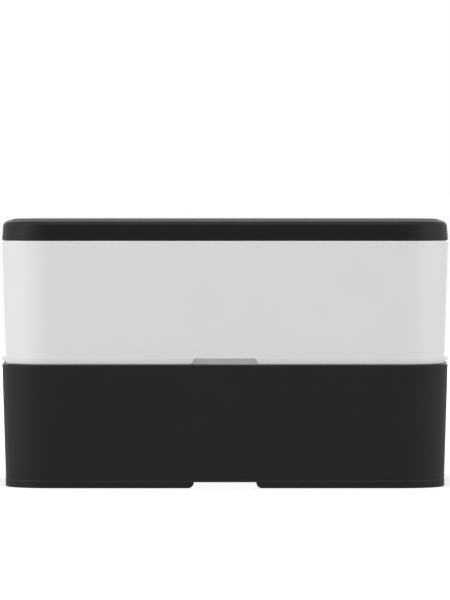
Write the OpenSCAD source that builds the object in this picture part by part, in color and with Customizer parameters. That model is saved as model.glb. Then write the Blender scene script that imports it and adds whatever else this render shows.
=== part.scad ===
// Two-tier bento lunch box: two nesting boxes, a soft inner lid for each and a hard outer lid.
// Millimetres. The long side lies along X, the front faces -Y, and the lower box stands on z = 0.
// Every piece follows one rounded rectangle. Its four corner axes are shared by all five pieces,
// so a profile gives distances from those axes and is swept once round them.

/* [Boxes] */
// Outside length of a box at its rim
box_length = 180; // [140:1:240]
// Outside width of a box at its rim
box_width = 113; // [80:1:160]
// Height of a box from its foot to its rim
box_height = 49.6; // [35:0.2:80]
// Plan radius of the rim's corners
corner_radius = 20; // [12:0.5:30]
// Thickness of the side walls
box_wall = 2.8; // [2.4:0.1:3.4]
// Thickness of the floor
floor_thickness = 2.2; // [1.4:0.1:3.6]
// How far each side leans in between the rim and the foot
wall_lean = 1.6; // [0.4:0.1:1.8]
// Rounding inside, between the wall and the floor
floor_fillet = 4; // [1:0.5:7]
// Rounding of the rim's two edges
rim_rounding = 0.4; // [0.2:0.05:0.8]

/* [Foot] */
// Height of the shallow band round the foot
band_height = 2.8; // [2.5:0.1:4.5]
// How far the band stands out from the wall above it
band_step = 0.12; // [0.04:0.02:0.2]
// Rounding of the foot's outer edge
foot_rounding = 0.3; // [0.1:0.05:0.4]
// Diameter of the moulding gate's dimple under the floor
gate_diameter = 9; // [4:0.5:16]
// Depth of the gate's dimple
gate_depth = 0.5; // [0.2:0.1:0.8]

/* [Inner lids] */
// Depth of the plug below the rim
plug_depth = 5.4; // [3.5:0.1:9]
// Height of the collar above the rim
collar_height = 4.8; // [3:0.1:8]
// Thickness of an inner lid's wall
soft_wall = 1.4; // [1:0.1:2]
// Thickness of an inner lid's floor
soft_floor = 1.4; // [1:0.1:2.4]
// Rounding of the plug's lower edge
plug_rounding = 2.2; // [0.5:0.1:2.6]
// Rounding inside the tray, between its wall and its floor
tray_fillet = 1.2; // [0.4:0.1:4]
// How far the collar stands in above the ledge
ledge_inset = 0.15; // [0.05:0.05:0.3]
// Width of the pull tab at each end
tab_width = 24; // [14:0.5:34]
// How far a tab stands out past the box's side
tab_overhang = 1.5; // [0:0.1:4]
// Thickness of a tab
tab_thickness = 2.1; // [1.4:0.1:2.7]
// Rounding of a tab's edge
tab_rounding = 0.5; // [0.1:0.05:0.6]
// Width of the air groove down the middle of each long side
groove_width = 1.2; // [0.6:0.1:2]
// Depth of the air groove
groove_depth = 0.3; // [0.1:0.05:0.5]
// Width of the dip in the ledge over the air groove
dip_width = 6.5; // [3:0.5:12]
// Depth of the dip in the ledge
dip_depth = 0.4; // [0.2:0.1:0.8]

/* [Outer lid] */
// Thickness of the outer lid's top
top_thickness = 2.9; // [2:0.1:4]
// How far the outer lid's foot reaches beyond the rim
lid_overhang = 0; // [0:0.05:0.6]
// How far the outer lid's sides lean in from its foot to its top
lid_lean = 0.6; // [0:0.1:1]
// Rounding of the outer lid's top edge
top_rounding = 2.5; // [1:0.1:3.5]
// Rounding of the outer lid's lower edge
lid_foot_rounding = 0.5; // [0.2:0.05:0.8]

/* [Fits] */
// Gap between a plug and the wall that it seals
plug_clearance = 0.3; // [0.2:0.05:0.6]
// Gap between a collar and the foot or lid round it
collar_clearance = 0.3; // [0.2:0.05:0.6]
// Gap between a collar and the floor or lid above it
collar_headroom = 0.3; // [0.2:0.05:1]
// Gap between a tab and the roof of its notch
tab_headroom = 0.3; // [0.2:0.05:0.6]
// Gap between a tab and each side of its notch
tab_side_gap = 0.5; // [0.3:0.1:1.5]

/* [Hidden] */
$fn = 96;
arc_steps = 6; // straight steps in each rounding of a profile
cut_margin = 1; // how far a cut runs on outside what it cuts
inner_edge_rounding = 0.2; // of a foot's inner edge and a collar's top edges
recess_fillet = 0.4; // in the corner over a collar

// The shared corner axes
axis_x = box_length / 2 - corner_radius;
axis_y = box_width / 2 - corner_radius;

// Distances from the corner axes
rim_inside = corner_radius - box_wall;
plug_reach = rim_inside - plug_clearance;
collar_reach = plug_reach - ledge_inset;
around_collar = plug_reach + collar_clearance;
lid_reach = corner_radius + lid_overhang;

// Heights in a box, from its foot
recess_height = collar_height + collar_headroom;
floor_level = recess_height + floor_thickness;

// Heights in an inner lid, from its underside
ledge_level = plug_depth + tab_thickness;
soft_height = plug_depth + collar_height;

outer_lid_height = recess_height + top_thickness;

// A notch lets a tab out through the foot above it
notch_width = tab_width + 2 * tab_side_gap;
notch_height = tab_thickness + tab_headroom;

// Both walls of a box lean at one rate, and so does the plug inside them
lean_rate = wall_lean / box_height;

function outer_face(z) = corner_radius - lean_rate * (box_height - z);
function plug_face(z) = plug_reach - lean_rate * (plug_depth - z);

// Radius of a circle whose arch has this width and rise
function arch_radius(width, rise) = (width * width / 4 + rise * rise) / (2 * rise);

function unit(v) = v / norm(v);
function place(points, i) = [points[i][0], points[i][1]];

// Rounding of point i: its two tangent points, its centre and the angle that the outline turns there
function arms(points, i) =
    let (n = len(points), p = place(points, i))
    [unit(place(points, (i + n - 1) % n) - p), unit(place(points, (i + 1) % n) - p)];
function rounded_corner(points, i) =
    let (
        arm = arms(points, i),
        half = acos(arm[0] * arm[1]) / 2,
        radius = points[i][2],
        start = place(points, i) + arm[0] * radius / tan(half),
        centre = place(points, i) + unit(arm[0] + arm[1]) * radius / sin(half),
        turn = (180 - 2 * half) * sign(cross(arm[1], arm[0])),
        from = atan2(start[1] - centre[1], start[0] - centre[0])
    )
    [for (step = [0 : arc_steps])
        let (angle = from + turn * step / arc_steps)
        centre + radius * [cos(angle), sin(angle)]];

// Outline through [across, up, rounding] points, anticlockwise
module rounded_outline(points) {
    polygon([for (i = [0 : len(points) - 1])
        each points[i][2] > 0 ? rounded_corner(points, i) : [place(points, i)]]);
}

// A profile swept round the rounded rectangle, with a slab that closes its middle
module swept(points, slab_from, slab_to) {
    for (side = [0, 1]) rotate(180 * side) {
        translate([axis_x, axis_y]) rotate_extrude(angle = 90) rounded_outline(points);
        translate([-axis_x, axis_y]) rotate(90) rotate_extrude(angle = 90) rounded_outline(points);
        translate([axis_x, axis_y]) rotate([90, 0, 0])
            linear_extrude(2 * axis_y) rounded_outline(points);
        translate([-axis_x, axis_y]) rotate([90, 0, 90])
            linear_extrude(2 * axis_x) rounded_outline(points);
    }
    translate([-axis_x, -axis_y, slab_from])
        cube([2 * axis_x, 2 * axis_y, slab_to - slab_from]);
}

// Opening cut up through a foot along X. The foot's corners beside it are rounded to its full height.
module notch(length) {
    mouth = notch_width + 2 * notch_height;
    rotate([90, 0, 90]) translate([0, 0, -length / 2]) linear_extrude(length) difference() {
        translate([-mouth / 2, -cut_margin]) square([mouth, notch_height + cut_margin]);
        for (side = [-1, 1]) translate([side * mouth / 2, notch_height]) circle(notch_height);
    }
}

module end_notches() notch(box_length + 2 * (lid_overhang + cut_margin));
module side_notches() rotate(90) notch(box_width + 2 * cut_margin);

// Box: leaning walls on a floor that stands up inside a foot skirt, which drops over the lid below
module box_shell() {
    profile = [
        [0, recess_height, 0],
        [around_collar, recess_height, recess_fillet],
        [around_collar, 0, inner_edge_rounding],
        [outer_face(0) + band_step, 0, foot_rounding],
        [outer_face(band_height) + band_step, band_height, 0],
        [outer_face(band_height + band_step), band_height + band_step, 0],
        [corner_radius, box_height, rim_rounding],
        [rim_inside, box_height, rim_rounding],
        [outer_face(floor_level) - box_wall, floor_level, floor_fillet],
        [0, floor_level, 0]
    ];
    difference() {
        swept(profile, recess_height, floor_level);
        end_notches();
        side_notches();
        translate([0, 0, recess_height - cut_margin])
            cylinder(h = cut_margin + gate_depth, d = gate_diameter);
    }
}

// Pull tab out over the rim at one end: the edge of a disc that comes out through the wall
module tab() {
    tip = box_length / 2 + tab_overhang;
    disc_radius = arch_radius(tab_width, tip - axis_x - plug_reach);
    root = axis_x + collar_reach - soft_wall / 2;
    intersection() {
        translate([tip - disc_radius, 0, plug_depth]) rotate_extrude()
            rounded_outline([
                [0, 0, 0],
                [disc_radius, 0, tab_rounding],
                [disc_radius, tab_thickness, tab_rounding],
                [0, tab_thickness, 0]
            ]);
        translate([root, -tab_width, plug_depth - cut_margin])
            cube([corner_radius, 2 * tab_width, tab_thickness + 2 * cut_margin]);
    }
}

// Shallow groove up the plug's front, and the dip in the ledge above it
module air_groove() {
    face = axis_y + plug_reach;
    radius = arch_radius(groove_width, groove_depth);
    translate([0, -(face + radius - groove_depth), -cut_margin])
        cylinder(h = plug_depth + cut_margin, r = radius);
    translate([-dip_width / 2, -(face + cut_margin), ledge_level - dip_depth])
        cube([dip_width, cut_margin + ledge_inset, dip_depth + cut_margin]);
}

// Inner lid: a tray whose lower half plugs the box and whose collar stands above the rim
module soft_lid() {
    tray_inside = collar_reach - soft_wall;
    profile = [
        [0, 0, 0],
        [plug_face(0), 0, plug_rounding],
        [plug_reach, plug_depth, 0],
        [plug_reach, ledge_level, 0],
        [collar_reach, ledge_level, 0],
        [collar_reach, soft_height, inner_edge_rounding],
        [tray_inside, soft_height, inner_edge_rounding],
        [tray_inside, soft_floor, tray_fillet],
        [0, soft_floor, 0]
    ];
    difference() {
        union() {
            swept(profile, 0, soft_floor);
            for (end = [0, 1]) rotate(180 * end) tab();
        }
        for (side = [0, 1]) rotate(180 * side) air_groove();
    }
}

// Outer lid: a shallow cap that stands on the upper rim, round the collar
module lid_shell() {
    profile = [
        [0, recess_height, 0],
        [around_collar, recess_height, recess_fillet],
        [around_collar, 0, inner_edge_rounding],
        [lid_reach, 0, lid_foot_rounding],
        [lid_reach - lid_lean, outer_lid_height, top_rounding],
        [0, outer_lid_height, 0]
    ];
    difference() {
        swept(profile, recess_height, outer_lid_height);
        end_notches();
        translate([0, 0, recess_height - cut_margin])
            cylinder(h = cut_margin + gate_depth, d = gate_diameter);
    }
}

// The pieces, each at its place in the closed stack
module lower_box() color("#262628") box_shell();

module lower_inner_lid()
    color("#e4e6e6") translate([0, 0, box_height - plug_depth]) soft_lid();

module upper_box() color("#f2f2f0") translate([0, 0, box_height]) box_shell();

module upper_inner_lid()
    color("#e4e6e6") translate([0, 0, 2 * box_height - plug_depth]) soft_lid();

module outer_lid() color("#262628") translate([0, 0, 2 * box_height]) lid_shell();

lower_box();
lower_inner_lid();
upper_box();
upper_inner_lid();
outer_lid();
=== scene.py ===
from math import acos, atan2, cos, pi, radians, sin, tan

import bmesh
import bpy
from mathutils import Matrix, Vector


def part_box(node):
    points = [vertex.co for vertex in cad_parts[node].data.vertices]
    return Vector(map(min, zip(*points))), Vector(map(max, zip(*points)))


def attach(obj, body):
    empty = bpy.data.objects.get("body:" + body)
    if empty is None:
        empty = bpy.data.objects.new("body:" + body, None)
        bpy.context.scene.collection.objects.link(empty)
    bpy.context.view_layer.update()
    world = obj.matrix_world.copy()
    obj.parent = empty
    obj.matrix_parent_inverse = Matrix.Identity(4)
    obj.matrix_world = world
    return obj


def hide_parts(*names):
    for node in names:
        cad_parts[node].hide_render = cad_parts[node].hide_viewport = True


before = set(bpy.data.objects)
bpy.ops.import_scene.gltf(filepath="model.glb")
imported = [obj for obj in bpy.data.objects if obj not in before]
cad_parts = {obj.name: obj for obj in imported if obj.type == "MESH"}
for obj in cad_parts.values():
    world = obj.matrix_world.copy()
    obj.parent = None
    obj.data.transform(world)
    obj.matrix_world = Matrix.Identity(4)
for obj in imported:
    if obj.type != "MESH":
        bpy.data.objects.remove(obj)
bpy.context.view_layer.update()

# ---------------------------------------------------------------------------------------------
# The studio: a white sweep, a long lens level with the upper inner lid of the opened stack, and
# broad soft lamps that graze the rounded corners from both sides.

MM = 0.001

low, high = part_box("lower_box")
front_face = low[1]
camera_distance = 2426 * MM
camera_height = 131.3 * MM
camera_pitch = radians(-1.317)
focal_length = 363.7  # in millimetres, as is the sensor's height
sensor_height = 36
farthest_seen = 50.0

camera = bpy.data.objects.new("camera", bpy.data.cameras.new("camera"))
bpy.context.scene.collection.objects.link(camera)
bpy.context.scene.camera = camera
camera.location = (0, front_face - camera_distance, camera_height)
camera.rotation_euler = (pi / 2 + camera_pitch, 0, 0)
camera.data.sensor_fit = "VERTICAL"
camera.data.sensor_height = sensor_height
camera.data.lens = focal_length
camera.data.clip_end = farthest_seen

bpy.context.scene.view_settings.view_transform = "Standard"


def add(tree, kind, inputs=(), **settings):
    """A node with its settings, its inputs set to values or linked to other nodes' sockets."""
    node = tree.nodes.new(kind)
    for name, value in settings.items():
        setattr(node, name, value)
    for name, value in dict(inputs).items():
        if isinstance(value, bpy.types.NodeSocket):
            tree.links.new(value, node.inputs[name])
        else:
            node.inputs[name].default_value = value
    return node


def seen_directly(tree):
    """1 for rays from the camera, a mirror-like bounce or a clear pass, and 0 for soft light."""
    path = add(tree, "ShaderNodeLightPath")
    first = add(tree, "ShaderNodeMath",
                {0: path.outputs["Is Camera Ray"], 1: path.outputs["Is Glossy Ray"]},
                operation="MAXIMUM")
    return add(tree, "ShaderNodeMath",
               {0: first.outputs[0], 1: path.outputs["Is Transmission Ray"]},
               operation="MAXIMUM").outputs[0]


room_light = 0.4  # what the room gives as soft light, where 1 is white

world = bpy.data.worlds.new("white room")
bpy.context.scene.world = world
world.use_nodes = True
world.node_tree.nodes.clear()
strength = add(world.node_tree, "ShaderNodeMapRange",
               {"Value": seen_directly(world.node_tree), "To Min": room_light, "To Max": 1.0})
sky = add(world.node_tree, "ShaderNodeBackground",
          {"Color": (1, 1, 1, 1), "Strength": strength.outputs[0]})
add(world.node_tree, "ShaderNodeOutputWorld", {"Surface": sky.outputs[0]})

floor_reach = 12.0
paper_level = -0.05 * MM  # just under the foot, so that the two never share a plane
floor_mesh = bpy.data.meshes.new("floor")
floor_mesh.from_pydata(
    [(x * floor_reach, y * floor_reach, paper_level)
     for x, y in ((-1, -1), (1, -1), (1, 1), (-1, 1))],
    [], [(0, 1, 2, 3)])
floor = bpy.data.objects.new("floor", floor_mesh)
bpy.context.scene.collection.objects.link(floor)

# White paper sweep: it takes the soft shadow round the object. Away from the object, where the
# lamps leave it grey, it is lifted to white. It is lifted beneath the box too, inside an ellipse
# that just fits the foot, so the foot's notches show white and not the shadow that lies there.
paper_white = 0.8
near_object, far_from_object = 0.12, 0.5
lift_near, lift_far = 0.44, 0.65
ellipse_inside, ellipse_outside = 0.94, 0.975  # shares of the box's half length and width
lift_under_box = 0.5

paper = bpy.data.materials.new("white paper sweep")
paper.use_nodes = True
paper.node_tree.nodes.clear()
matte = add(paper.node_tree, "ShaderNodeBsdfDiffuse",
            {"Color": (paper_white, paper_white, paper_white, 1)})
place = add(paper.node_tree, "ShaderNodeTexCoord").outputs["Object"]
from_middle = add(paper.node_tree, "ShaderNodeVectorMath", {0: place}, operation="LENGTH")
shortfall = add(paper.node_tree, "ShaderNodeMapRange",
                {"Value": from_middle.outputs["Value"], "From Min": near_object,
                 "From Max": far_from_object, "To Min": lift_near, "To Max": lift_far})
in_box_sizes = add(paper.node_tree, "ShaderNodeVectorMath", {0: place, 1: (high[0], high[1], 1)},
                   operation="DIVIDE")
outwards = add(paper.node_tree, "ShaderNodeVectorMath", {0: in_box_sizes.outputs[0]},
               operation="LENGTH")
under_box = add(paper.node_tree, "ShaderNodeMapRange",
                {"Value": outwards.outputs["Value"], "From Min": ellipse_inside,
                 "From Max": ellipse_outside, "To Min": lift_under_box, "To Max": 0.0})
raised = add(paper.node_tree, "ShaderNodeMath",
             {0: shortfall.outputs[0], 1: under_box.outputs[0]}, operation="ADD")
lift = add(paper.node_tree, "ShaderNodeMath",
           {0: seen_directly(paper.node_tree), 1: raised.outputs[0]}, operation="MULTIPLY")
glow = add(paper.node_tree, "ShaderNodeEmission", {"Strength": lift.outputs[0]})
both = add(paper.node_tree, "ShaderNodeAddShader", {0: matte.outputs[0], 1: glow.outputs[0]})
add(paper.node_tree, "ShaderNodeOutputMaterial", {"Surface": both.outputs[0]})
floor_mesh.materials.append(paper)

stack_middle = Vector((0, 0, 50 * MM))


def soft_lamp(name, place, size, watts):
    """A softbox of this width and height at this place, aimed at the middle of the stack."""
    lamp = bpy.data.objects.new(name, bpy.data.lights.new(name, "AREA"))
    lamp.data.shape = "RECTANGLE"
    lamp.data.size, lamp.data.size_y = size
    lamp.data.energy = watts
    lamp.location = place
    aim = stack_middle - Vector(place)
    lamp.rotation_euler = aim.to_track_quat("-Z", "Y").to_euler()
    bpy.context.scene.collection.objects.link(lamp)
    return lamp


# A dark screen across the front of the studio, which the camera and the front fill look through:
# it darkens what faces the lens, so the rounded corners, which face the softboxes, stand out
# lighter.
screen_half_width = 1.1
screen_height = 1.0
screen_distance = 1.5
screen_foot = -0.04 * MM  # just clear of the paper
screen_dark = 0.02

screen_mesh = bpy.data.meshes.new("dark screen")
screen_mesh.from_pydata(
    [(x * screen_half_width, -screen_distance, z)
     for x, z in ((-1, screen_foot), (1, screen_foot), (1, screen_height), (-1, screen_height))],
    [], [(0, 1, 2, 3)])
screen = bpy.data.objects.new("dark_screen", screen_mesh)
bpy.context.scene.collection.objects.link(screen)
screen.visible_camera = False
screen.visible_shadow = False
velvet = bpy.data.materials.new("black velvet")
velvet.use_nodes = True
velvet.node_tree.nodes.clear()
nap = add(velvet.node_tree, "ShaderNodeBsdfDiffuse",
          {"Color": (screen_dark, screen_dark, screen_dark, 1)})
add(velvet.node_tree, "ShaderNodeOutputMaterial", {"Surface": nap.outputs[0]})
screen_mesh.materials.append(velvet)

soft_lamp("left softbox", (-1.1, -0.35, 0.45), (0.5, 1.0), 5.6)
soft_lamp("right softbox", (1.1, -0.30, 0.40), (0.5, 1.0), 4.1)
front_fill = soft_lamp("front fill", (0, -2.35, 0.14), (0.4, 0.3), 14.0)
front_fill.visible_glossy = False  # kept out of reflections, so it leaves no gleam
soft_lamp("back softbox", (0, 1.4, 0.4), (1.0, 0.6), 10.0)
soft_lamp("overhead softbox", (0, -0.3, 1.3), (1.2, 0.8), 5.4)

# ---------------------------------------------------------------------------------------------
# The lower box: a black polypropylene moulding, one leaning wall swept round a rounded rectangle.
# Its floor stands up inside the foot, so that the foot can drop over a lid's collar, and a notch
# in each side of the foot lets a lid's tab out.

box_length = high[0] - low[0]
box_width = high[1] - low[1]
box_height = high[2] - low[2]
corner_radius = 20 * MM
middle_radius = 5 * MM
box_wall = 2.8 * MM
wall_lean = 1.6 * MM
floor_thickness = 2.2 * MM
floor_fillet = 4 * MM
rim_rounding = 0.4 * MM
band_height = 2.8 * MM
band_step = 0.12 * MM
foot_rounding = 0.3 * MM
inner_edge_rounding = 0.2 * MM
recess_fillet = 0.4 * MM
gate_radius = 4.5 * MM
gate_depth = 0.5 * MM
lid_clearance = 0.3 * MM
collar_height = 4.8 * MM
tab_thickness = 2.1 * MM
tab_width = 24 * MM
tab_side_gap = 0.5 * MM
cut_margin = 1 * MM

# Distances from the corner axes, and heights from the foot
rim_inside = corner_radius - box_wall
plug_reach = rim_inside - lid_clearance
around_collar = plug_reach + lid_clearance
recess_height = collar_height + lid_clearance
floor_level = recess_height + floor_thickness
notch_height = tab_thickness + lid_clearance
notch_width = tab_width + 2 * tab_side_gap


def outer_face(z):
    """The leaning wall's outer face at this height, from the corner axes."""
    return corner_radius - wall_lean * (1 - z / box_height)


def rounded_profile(points, steps=8):
    """The line through (across, up, rounding) points, with an arc in place of each rounded one."""
    line = []
    for i, (across, up, rounding) in enumerate(points):
        here = Vector((across, up))
        if not rounding:
            line.append(here)
            continue
        back = (Vector(points[i - 1][:2]) - here).normalized()
        on = (Vector(points[i + 1][:2]) - here).normalized()
        half = acos(back.dot(on)) / 2
        centre = here + (back + on).normalized() * rounding / sin(half)
        start = here + back * rounding / tan(half) - centre
        turn = (pi - 2 * half) * (1 if back.cross(on) < 0 else -1)
        first = atan2(start.y, start.x)
        for step in range(steps + 1):
            angle = first + turn * step / steps
            line.append(centre + rounding * Vector((cos(angle), sin(angle))))
    return line


corner_steps = 24
weld_distance = 0.002 * MM
sliver_width = 0.004 * MM


def sweep_tree():
    """Geometry nodes that sweep a profile round the shell's plan and close its middle."""
    tree = bpy.data.node_groups.new("moulded shell", "GeometryNodeTree")
    for name, kind in (
        ("Profile", "NodeSocketGeometry"),
        ("Length", "NodeSocketFloat"),
        ("Width", "NodeSocketFloat"),
        ("Corner radius", "NodeSocketFloat"),
        ("Middle top", "NodeSocketFloat"),
        ("Middle underside", "NodeSocketFloat"),
        ("Extras", "NodeSocketObject"),
        ("Cutters", "NodeSocketObject"),
        ("Material", "NodeSocketMaterial"),
    ):
        tree.interface.new_socket(name, in_out="INPUT", socket_type=kind)
    tree.interface.new_socket("Shell", in_out="OUTPUT", socket_type="NodeSocketGeometry")
    given = add(tree, "NodeGroupInput").outputs

    plan = add(tree, "GeometryNodeCurvePrimitiveQuadrilateral",
               {"Width": given["Length"], "Height": given["Width"]})
    rounded_plan = add(tree, "GeometryNodeFilletCurve",
                       {"Curve": plan.outputs[0], "Count": corner_steps,
                        "Radius": given["Corner radius"]},
                       mode="POLY")
    profile = add(tree, "GeometryNodeMeshToCurve", {"Mesh": given["Profile"]})
    wall = add(tree, "GeometryNodeCurveToMesh",
               {"Curve": rounded_plan.outputs[0], "Profile Curve": profile.outputs[0]})

    # The sweep leaves two like openings, one above the other: the upper one's edge gives the sheet
    # that closes both
    faces_beside = add(tree, "GeometryNodeInputMeshEdgeNeighbors")
    open_edge = add(tree, "FunctionNodeCompare", {"A": faces_beside.outputs[0], "B": 1},
                    data_type="INT", operation="EQUAL")
    height = add(tree, "ShaderNodeSeparateXYZ",
                 {"Vector": add(tree, "GeometryNodeInputPosition").outputs[0]})
    halfway = add(tree, "ShaderNodeMath",
                  {0: given["Middle top"], 1: given["Middle underside"]}, operation="ADD")
    middle_height = add(tree, "ShaderNodeMath", {0: halfway.outputs[0], 1: 0.5},
                        operation="MULTIPLY")
    above = add(tree, "FunctionNodeCompare",
                {"A": height.outputs["Z"], "B": middle_height.outputs[0]},
                data_type="FLOAT", operation="GREATER_THAN")
    upper_edge = add(tree, "FunctionNodeBooleanMath",
                     {0: open_edge.outputs[0], 1: above.outputs[0]}, operation="AND")
    opening = add(tree, "GeometryNodeMeshToCurve",
                  {"Mesh": wall.outputs[0], "Selection": upper_edge.outputs[0]})
    filled = add(tree, "GeometryNodeFillCurve", {"Curve": opening.outputs[0]}, mode="NGONS")
    middles = []
    for name in ("Middle top", "Middle underside"):
        level = add(tree, "ShaderNodeCombineXYZ", {"Z": given[name]})
        placed = add(tree, "GeometryNodeTransform",
                     {"Geometry": filled.outputs[0], "Translation": level.outputs[0]})
        middles.append(placed.outputs[0])
    middles[1] = add(tree, "GeometryNodeFlipFaces", {"Mesh": middles[1]}).outputs[0]

    joined = add(tree, "GeometryNodeJoinGeometry")
    for part in [wall.outputs[0]] + middles:
        tree.links.new(part, joined.inputs[0])
    closed = add(tree, "GeometryNodeMergeByDistance",
                 {"Geometry": joined.outputs[0], "Distance": weld_distance})
    extras = add(tree, "GeometryNodeObjectInfo", {"Object": given["Extras"]})
    grown = add(tree, "GeometryNodeMeshBoolean", operation="UNION", solver="MANIFOLD")
    tree.links.new(closed.outputs[0], grown.inputs["Mesh 2"])
    tree.links.new(extras.outputs["Geometry"], grown.inputs["Mesh 2"])
    cutters = add(tree, "GeometryNodeObjectInfo", {"Object": given["Cutters"]})
    cut = add(tree, "GeometryNodeMeshBoolean",
              {"Mesh 1": grown.outputs[0], "Mesh 2": cutters.outputs["Geometry"]},
              operation="DIFFERENCE", solver="MANIFOLD")
    # Slivers are left where a cut runs out along an arc
    clean = add(tree, "GeometryNodeMergeByDistance",
                {"Geometry": cut.outputs[0], "Distance": sliver_width})
    smooth = add(tree, "GeometryNodeSetShadeSmooth", {"Geometry": clean.outputs[0]})
    real = add(tree, "GeometryNodeRealizeInstances", {"Geometry": smooth.outputs[0]})
    painted = add(tree, "GeometryNodeSetMaterial",
                  {"Geometry": real.outputs[0], "Material": given["Material"]})
    add(tree, "NodeGroupOutput", {"Shell": painted.outputs[0]})
    return tree


moulded_shell_tree = sweep_tree()


def mesh_object(name, build):
    """An object whose mesh build(bm) makes, with its faces turned outwards."""
    bm = bmesh.new()
    build(bm)
    bmesh.ops.recalc_face_normals(bm, faces=bm.faces)
    mesh = bpy.data.meshes.new(name)
    bm.to_mesh(mesh)
    bm.free()
    made = bpy.data.objects.new(name, mesh)
    bpy.context.scene.collection.objects.link(made)
    return made


def prism(bm, outline, along, start, end):
    """Pushes a closed outline of (u, v) points along X, Y or Z, with the other two axes as u, v."""
    ends = []
    for reach in (start, end):
        loop = []
        for point in outline:
            place = list(point)
            place.insert("XYZ".index(along), reach)
            loop.append(bm.verts.new(place))
        ends.append(loop)
        bm.faces.new(loop)
    count = len(outline)
    for i in range(count):
        j = (i + 1) % count
        bm.faces.new((ends[0][i], ends[0][j], ends[1][j], ends[1][i]))


def notch_outline():
    """Half a notch's width to each side: a flat roof, and feet rounded to the notch's full height.
    Each foot's arc runs on straight below the box, so that it crosses the foot's plane cleanly."""
    half = notch_width / 2
    steps = 10
    turn = pi / 2 / steps
    side = [(half + notch_height + cut_margin / tan(turn / 2), -cut_margin)]
    for step in range(1, steps + 1):
        angle = turn * step
        side.append((half + notch_height * (1 - sin(angle)), notch_height * (1 - cos(angle))))
    return side + [(-u, v) for u, v in reversed(side)]


def circle(radius, steps):
    """The points of a circle round the origin."""
    return [(radius * cos(2 * pi * k / steps), radius * sin(2 * pi * k / steps))
            for k in range(steps)]


def cut_foot(bm, long_sides=True):
    """Cutters for the gate's dimple and for the notches in the two ends and the long sides."""
    reach = box_length
    prism(bm, notch_outline(), "X", -reach, reach)
    if long_sides:
        prism(bm, notch_outline(), "Y", -reach, reach)
    prism(bm, circle(gate_radius, steps=48), "Z", recess_height - cut_margin,
          recess_height + gate_depth)


sharp_from = radians(35)
flat_face_weight = 80


def moulded(name, points, middle_top, middle_underside, lift, material, extras=None, cutters=None):
    """Sweeps a profile of (across, up, rounding) points into a finished shell, lifted to its place."""
    line = rounded_profile(points)
    mesh = bpy.data.meshes.new(name + "_profile")
    # The sweep carries a profile's X outwards and its Y downwards
    mesh.from_pydata([(p.x - corner_radius, -p.y, 0) for p in line],
                     [(i, i + 1) for i in range(len(line) - 1)], [])
    base = bpy.data.objects.new(name + "_profile", mesh)
    bpy.context.scene.collection.objects.link(base)
    modifier = base.modifiers.new("shell", "NODES")
    modifier.node_group = moulded_shell_tree
    sizes = {
        "Length": box_length, "Width": box_width, "Corner radius": corner_radius,
        "Middle top": middle_top, "Middle underside": middle_underside,
        "Extras": extras, "Cutters": cutters, "Material": material,
    }
    for item in moulded_shell_tree.interface.items_tree:
        if item.name in sizes:
            modifier[item.identifier] = sizes[item.name]
    bpy.context.view_layer.update()
    depsgraph = bpy.context.evaluated_depsgraph_get()
    shell = bpy.data.meshes.new_from_object(base.evaluated_get(depsgraph), depsgraph=depsgraph)
    base.modifiers.remove(modifier)
    for used in (base, extras, cutters):
        if used:
            bpy.data.objects.remove(used)
    for vertex in shell.vertices:
        vertex.co.z += lift
    shell.set_sharp_from_angle(angle=sharp_from)
    piece = bpy.data.objects.new(name, shell)
    bpy.context.scene.collection.objects.link(piece)
    flat = piece.modifiers.new("flat faces stay flat", "WEIGHTED_NORMAL")
    flat.weight = flat_face_weight
    return piece


def linear(hex_colour):
    """The linear colour of an sRGB hex value."""
    values = [int(hex_colour[k:k + 2], 16) / 255 for k in (1, 3, 5)]
    return [v / 12.92 if v < 0.04045 else ((v + 0.055) / 1.055) ** 2.4 for v in values] + [1]


def within(tree, value, middle, reach):
    """1 where a value lies within this reach of the middle, and 0 elsewhere."""
    return add(tree, "ShaderNodeMath", {0: value, 1: middle, 2: reach},
               operation="COMPARE").outputs[0]


grain_size = 0.5 * MM
grain_depth = 0.03 * MM
flow_cloud_size = 38 * MM
roughness_spread = 0.05  # either way, from grain to grain
sidelong_from, sidelong_full = 0.85, 0.97  # of Layer Weight's Facing, where 1 is along the surface
rim_highlight_below_rim = 0.22 * MM
rim_highlight_half_width = 0.18 * MM
crest_highlight_half_width = 0.15 * MM
rim_smoothing = 0.25  # how much less rough the rim and foot are


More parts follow.
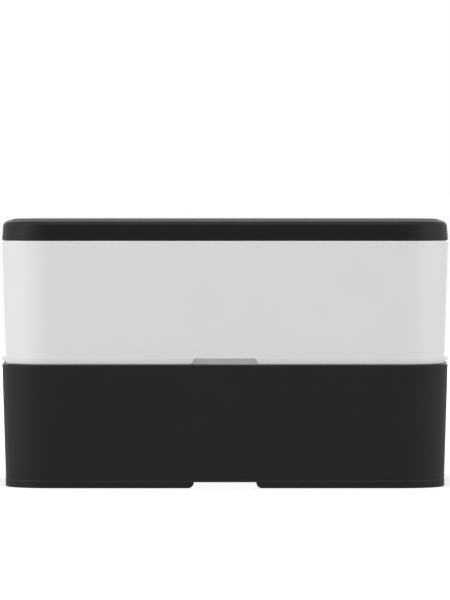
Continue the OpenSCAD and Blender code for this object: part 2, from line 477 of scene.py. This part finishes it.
def moulded_polypropylene(name, colour, shade, roughness, gloss, edge_highlight_colour=None):
    """Spark-eroded mould texture: an even satin, with grain drawn at 0.5 mm so that it shows, and
    faint clouds in the colour. On a box, the gleam along its finest edges is drawn in: the rim and
    foot are glossier, and the rim's outer edge and the band's crest carry a painted highlight, a
    paler colour in patches."""
    material = bpy.data.materials.new(name)
    material.use_nodes = True
    tree = material.node_tree
    tree.nodes.clear()
    where = add(tree, "ShaderNodeTexCoord").outputs["Object"]
    clouds = add(tree, "ShaderNodeTexNoise",
                 {"Vector": where, "Scale": 1 / flow_cloud_size, "Detail": 3.0,
                  "Roughness": 0.5})
    colours = add(tree, "ShaderNodeMix",
                  {"Factor": clouds.outputs["Fac"], "A": linear(colour), "B": linear(shade)},
                  data_type="RGBA")
    grain = add(tree, "ShaderNodeTexNoise",
                {"Vector": where, "Scale": 1 / grain_size, "Detail": 2.0, "Roughness": 0.6})
    satin = add(tree, "ShaderNodeMapRange",
                {"Value": grain.outputs["Fac"], "To Min": roughness - roughness_spread,
                 "To Max": roughness + roughness_spread})
    bump = add(tree, "ShaderNodeBump",
               {"Height": grain.outputs["Fac"], "Strength": 0.35, "Distance": grain_depth})
    # Dulled where it is seen along the surface, or a flat top would mirror the white room as a
    # bright strip
    sidelong = add(tree, "ShaderNodeMapRange",
                   {"Value": add(tree, "ShaderNodeLayerWeight").outputs["Facing"],
                    "From Min": sidelong_from, "From Max": sidelong_full})
    finish = add(tree, "ShaderNodeMath", {0: satin.outputs[0], 1: sidelong.outputs[0]},
                 operation="MAXIMUM").outputs[0]
    if edge_highlight_colour:
        # Each storey of the stack repeats at the box's height, counted here from 1 mm under a rim
        rim = 1 * MM
        shifted = add(tree, "ShaderNodeMath",
                      {0: add(tree, "ShaderNodeSeparateXYZ", {0: where}).outputs["Z"], 1: rim},
                      operation="ADD")
        storey = add(tree, "ShaderNodeMath", {0: shifted.outputs[0], 1: box_height},
                     operation="MODULO").outputs[0]
        # Painted highlight: a paler colour, in patches, along the rim's outer edge and the band's
        # crest
        rim_highlight_band = within(tree, storey, rim - rim_highlight_below_rim, rim_highlight_half_width)
        crest_highlight_band = within(tree, storey, rim + band_height + band_step / 2, crest_highlight_half_width)
        line = add(tree, "ShaderNodeMath", {0: rim_highlight_band, 1: crest_highlight_band}, operation="MAXIMUM")
        patchy = add(tree, "ShaderNodeMapRange",
                     {"Value": clouds.outputs["Fac"], "From Min": 0.35, "From Max": 0.6,
                      "To Min": 0.4, "To Max": 1.0})
        painted_highlight = add(tree, "ShaderNodeMath", {0: line.outputs[0], 1: patchy.outputs[0]},
                    operation="MULTIPLY")
        colours = add(tree, "ShaderNodeMix",
                      {"Factor": painted_highlight.outputs[0], "A": colours.outputs["Result"],
                       "B": linear(edge_highlight_colour)}, data_type="RGBA")
        at_rim = within(tree, storey, rim, rim_rounding)
        finish = add(tree, "ShaderNodeMath", {0: at_rim, 1: -rim_smoothing, 2: finish},
                     operation="MULTIPLY_ADD").outputs[0]
    surface = add(tree, "ShaderNodeBsdfPrincipled",
                  {"Base Color": colours.outputs["Result"], "Roughness": finish,
                   "Normal": bump.outputs[0], "IOR": 1.49, "Specular IOR Level": gloss})
    add(tree, "ShaderNodeOutputMaterial", {"Surface": surface.outputs[0]})
    return material


# Black polypropylene: soot black that reads as a very dark neutral grey under soft light, with a
# painted highlight in a paler grey along its finest edges
black_polypropylene = moulded_polypropylene("black moulded polypropylene", "#232324", "#202021",
                                            roughness=0.6, gloss=0.12, edge_highlight_colour="#3c3c3d")

box_profile = [
    (middle_radius, floor_level, 0),
    (outer_face(floor_level) - box_wall, floor_level, floor_fillet),
    (rim_inside, box_height, rim_rounding),
    (corner_radius, box_height, rim_rounding),
    (outer_face(band_height + band_step), band_height + band_step, 0),
    (outer_face(band_height) + band_step, band_height, 0),
    (outer_face(0) + band_step, 0, foot_rounding),
    (around_collar, 0, inner_edge_rounding),
    (around_collar, recess_height, recess_fillet),
    (middle_radius, recess_height, 0),
]


def box_piece(name, node, material):
    """A moulded box standing where its node stands."""
    cutters = mesh_object(name + "_cutters", cut_foot)
    piece = moulded(name, box_profile, floor_level, recess_height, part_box(node)[0][2],
                    material, cutters=cutters)
    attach(piece, node)
    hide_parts(node)
    return piece


box_piece("black_lower_box", "lower_box", black_polypropylene)

# ---------------------------------------------------------------------------------------------
# The lower inner lid: one soft polyethylene moulding, a shallow tray whose lower half plugs the
# box. A pull tab at each end lies on the rim.

plug_depth = 5.4 * MM
soft_wall = 1.4 * MM
soft_floor = 1.4 * MM
plug_rounding = 2.2 * MM
tray_fillet = 1.2 * MM
ledge_inset = 0.15 * MM
tab_overhang = 1.5 * MM
tab_rounding = 0.5 * MM
groove_width = 1.2 * MM
groove_depth = 0.3 * MM
dip_width = 6.5 * MM
dip_depth = 0.4 * MM

ledge_level = plug_depth + tab_thickness
soft_height = plug_depth + collar_height
collar_reach = plug_reach - ledge_inset


def arch_radius(width, rise):
    """Radius of a circle whose arch has this width and rise."""
    return (width * width / 4 + rise * rise) / (2 * rise)


def tab_outlines():
    """Heights and insets of the rings that make a tab's rounded edge, from its underside up."""
    steps = 5
    rings = []
    for step in range(steps + 1):
        angle = pi / 2 * step / steps
        rings.append((tab_rounding * (1 - cos(angle)), tab_rounding * (1 - sin(angle))))
    return rings + [(tab_thickness - up, inset) for up, inset in reversed(rings)]


def build_tabs(bm):
    """The two tabs: each is the rounded edge of a disc that comes out through the wall."""
    tip = box_length / 2 + tab_overhang
    plug_end = box_length / 2 - corner_radius + plug_reach
    root = plug_end - soft_wall / 2
    disc = arch_radius(tab_width, tip - plug_end)
    spread = acos((root - tip + disc) / disc)
    steps = 40
    for side in (-1, 1):
        rings = []
        for up, inset in tab_outlines():
            ring = []
            for step in range(steps + 1):
                angle = spread * (2 * step / steps - 1)
                across = tip - disc + (disc - inset) * cos(angle)
                ring.append(bm.verts.new((side * max(across, root), (disc - inset) * sin(angle),
                                          plug_depth + up)))
            rings.append(ring)
        bm.faces.new(rings[0])
        bm.faces.new(rings[-1])
        for lower, upper in zip(rings, rings[1:]):
            for i in range(steps + 1):
                j = (i + 1) % (steps + 1)
                bm.faces.new((lower[i], lower[j], upper[j], upper[i]))


def cut_air_grooves(bm):
    """The air groove up the middle of each long side of the plug, and the dip in the ledge above."""
    radius = arch_radius(groove_width, groove_depth)
    half = dip_width / 2
    for side in (-1, 1):
        face = side * (box_width / 2 - corner_radius + plug_reach)
        centre = face + side * (radius - groove_depth)
        ring = [(x, centre + y) for x, y in circle(radius, steps=24)]
        prism(bm, ring, "Z", -cut_margin, plug_depth)
        inside, outside = face - side * ledge_inset, face + side * cut_margin
        dip = [(-half, inside), (half, inside), (half, outside), (-half, outside)]
        prism(bm, dip, "Z", ledge_level - dip_depth, ledge_level + cut_margin)


foot_painted_light = "#fdfdfd"
plug_painted_shade = "#d3d3d3"
under_ledge_painted_shade = "#e5e5e5"
ledge_painted_shade = "#ededed"
collar_painted_light = "#fbfbfb"
groove_painted_light = "#e8e8e8"
soft_cloud_size = 14 * MM
wax_size = 0.8 * MM
wax_depth = 0.03 * MM
light_travel = 2.4 * MM


def milky_polyethylene():
    """Low-density polyethylene, moulded soft: milky, as light travels some millimetres inside it,
    with a waxy sheen and faint clouds. Its tones are chosen for the parts of the moulding and are
    painted light and shade: painted light at the foot and collar, painted shade half way up the
    plug, and between the two at the ledge."""
    material = bpy.data.materials.new("milky low-density polyethylene")
    material.use_nodes = True
    tree = material.node_tree
    tree.nodes.clear()
    where = add(tree, "ShaderNodeTexCoord").outputs["Object"]

    # Both lids stand at the same height in their own storey of the stack
    place = add(tree, "ShaderNodeSeparateXYZ", {0: where}).outputs
    above_first = add(tree, "ShaderNodeMath", {0: place["Z"], 1: box_height - plug_depth},
                      operation="SUBTRACT")
    above_foot = add(tree, "ShaderNodeMath", {0: above_first.outputs[0], 1: box_height},
                     operation="MODULO")
    share = add(tree, "ShaderNodeMath", {0: above_foot.outputs[0], 1: soft_height},
                operation="DIVIDE")
    # Painted light and shade by height: lighter at the foot and the collar, darker half way up the
    # plug and at the ledge
    body = add(tree, "ShaderNodeValToRGB", {"Fac": share.outputs[0]})
    stops = body.color_ramp.elements
    stops[0].color = linear(foot_painted_light)
    stops[-1].color = linear(collar_painted_light)
    for height, tone in (
        (soft_floor / 2, foot_painted_light),
        (plug_depth / 2, plug_painted_shade),
        (plug_depth, under_ledge_painted_shade),
        (plug_depth + ledge_inset, ledge_painted_shade),
        (ledge_level - ledge_inset, ledge_painted_shade),
        (ledge_level, collar_painted_light),
    ):
        stops.new(height / soft_height).color = linear(tone)

    # The air grooves carry painted light: a lighter tone than the plug around them, so that they show
    # as a light line
    in_middle = within(tree, place["X"], 0, groove_width / 2)
    across = add(tree, "ShaderNodeMath", {0: place["Y"]}, operation="ABSOLUTE")
    wall_inside = box_width / 2 - corner_radius + collar_reach - soft_wall
    in_wall = add(tree, "ShaderNodeMath", {0: across.outputs[0], 1: wall_inside},
                  operation="GREATER_THAN")
    in_plug = add(tree, "ShaderNodeMath", {0: share.outputs[0], 1: plug_depth / soft_height},
                  operation="LESS_THAN")
    in_both = add(tree, "ShaderNodeMath", {0: in_middle, 1: in_wall.outputs[0]},
                  operation="MULTIPLY")
    in_groove = add(tree, "ShaderNodeMath", {0: in_both.outputs[0], 1: in_plug.outputs[0]},
                    operation="MULTIPLY")
    graded = add(tree, "ShaderNodeMix",
                 {"Factor": in_groove.outputs[0], "A": body.outputs["Color"],
                  "B": linear(groove_painted_light)}, data_type="RGBA")

    clouds = add(tree, "ShaderNodeTexNoise",
                 {"Vector": where, "Scale": 1 / soft_cloud_size, "Detail": 4.0,
                  "Roughness": 0.55})
    colours = add(tree, "ShaderNodeMix",
                  {"Factor": clouds.outputs["Fac"], "A": graded.outputs["Result"],
                   "B": linear("#fafafa")}, data_type="RGBA", blend_type="MULTIPLY")
    wax = add(tree, "ShaderNodeTexNoise",
              {"Vector": where, "Scale": 1 / wax_size, "Detail": 2.0})
    bump = add(tree, "ShaderNodeBump",
               {"Height": wax.outputs["Fac"], "Strength": 0.3, "Distance": wax_depth})
    sheen = add(tree, "ShaderNodeMapRange",
                {"Value": clouds.outputs["Fac"], "To Min": 0.3, "To Max": 0.42})
    surface = add(tree, "ShaderNodeBsdfPrincipled",
                  {"Base Color": colours.outputs["Result"], "Roughness": sheen.outputs[0],
                   "Normal": bump.outputs[0], "IOR": 1.51, "Transmission Weight": 0.04,
                   "Subsurface Weight": 1.0, "Subsurface Scale": light_travel,
                   "Subsurface Radius": (1, 1, 1)})
    add(tree, "ShaderNodeOutputMaterial", {"Surface": surface.outputs[0]})
    return material


# Milky polyethylene: near white, and soft at its edges
milky_lid_plastic = milky_polyethylene()

soft_profile = [
    (middle_radius, soft_floor, 0),
    (collar_reach - soft_wall, soft_floor, tray_fillet),
    (collar_reach - soft_wall, soft_height, inner_edge_rounding),
    (collar_reach, soft_height, inner_edge_rounding),
    (collar_reach, ledge_level, 0),
    (plug_reach, ledge_level, 0),
    (plug_reach, plug_depth, 0),
    (plug_reach - wall_lean * plug_depth / box_height, 0, plug_rounding),
    (middle_radius, 0, 0),
]


def soft_lid_piece(name, node):
    """A soft lid pressed home where its node is."""
    extras = mesh_object(name + "_tabs", build_tabs)
    cutters = mesh_object(name + "_cutters", cut_air_grooves)
    piece = moulded(name, soft_profile, soft_floor, 0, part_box(node)[0][2], milky_lid_plastic,
                    extras=extras, cutters=cutters)
    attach(piece, node)
    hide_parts(node)
    return piece


soft_lid_piece("milky_lower_lid", "lower_inner_lid")

# ---------------------------------------------------------------------------------------------
# The upper box: the same moulding as the lower one in white polypropylene. Its foot stands on the
# lower box's rim, round the lower lid's collar.

# White polypropylene: a clean neutral white with the same mould texture, a little glossier, and
# the same painted highlight along its finest edges
white_polypropylene = moulded_polypropylene("white moulded polypropylene", "#e0e0df", "#dcdcdb",
                                            roughness=0.45, gloss=0.4, edge_highlight_colour="#e8e8e7")

box_piece("white_upper_box", "upper_box", white_polypropylene)

# ---------------------------------------------------------------------------------------------
# The upper inner lid: a second soft lid out of the same mould, pressed into the white box.

soft_lid_piece("milky_upper_lid", "upper_inner_lid")

# ---------------------------------------------------------------------------------------------
# The outer lid: a hard black polypropylene cap with a well rounded top edge. It stands on the
# upper rim round the collar, and the notches in its two ends clear the tabs.

top_thickness = 2.9 * MM
lid_lean = 0.6 * MM
top_rounding = 2.5 * MM
lid_foot_rounding = 0.5 * MM

lid_height = recess_height + top_thickness

lid_profile = [
    (middle_radius, lid_height, 0),
    (corner_radius - lid_lean, lid_height, top_rounding),
    (corner_radius, 0, lid_foot_rounding),
    (around_collar, 0, inner_edge_rounding),
    (around_collar, recess_height, recess_fillet),
    (middle_radius, recess_height, 0),
]

# Black polypropylene again, taken to be off a finer mould: darker, with a brighter gleam
fine_black_polypropylene = moulded_polypropylene("fine black moulded polypropylene", "#181819",
                                                 "#151516", roughness=0.5, gloss=0.18)

lid_cutters = mesh_object("lid_cutters", lambda bm: cut_foot(bm, long_sides=False))
outer_lid = moulded("black_outer_lid", lid_profile, lid_height, recess_height,
                    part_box("outer_lid")[0][2], fine_black_polypropylene, cutters=lid_cutters)
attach(outer_lid, "outer_lid")
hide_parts("outer_lid")
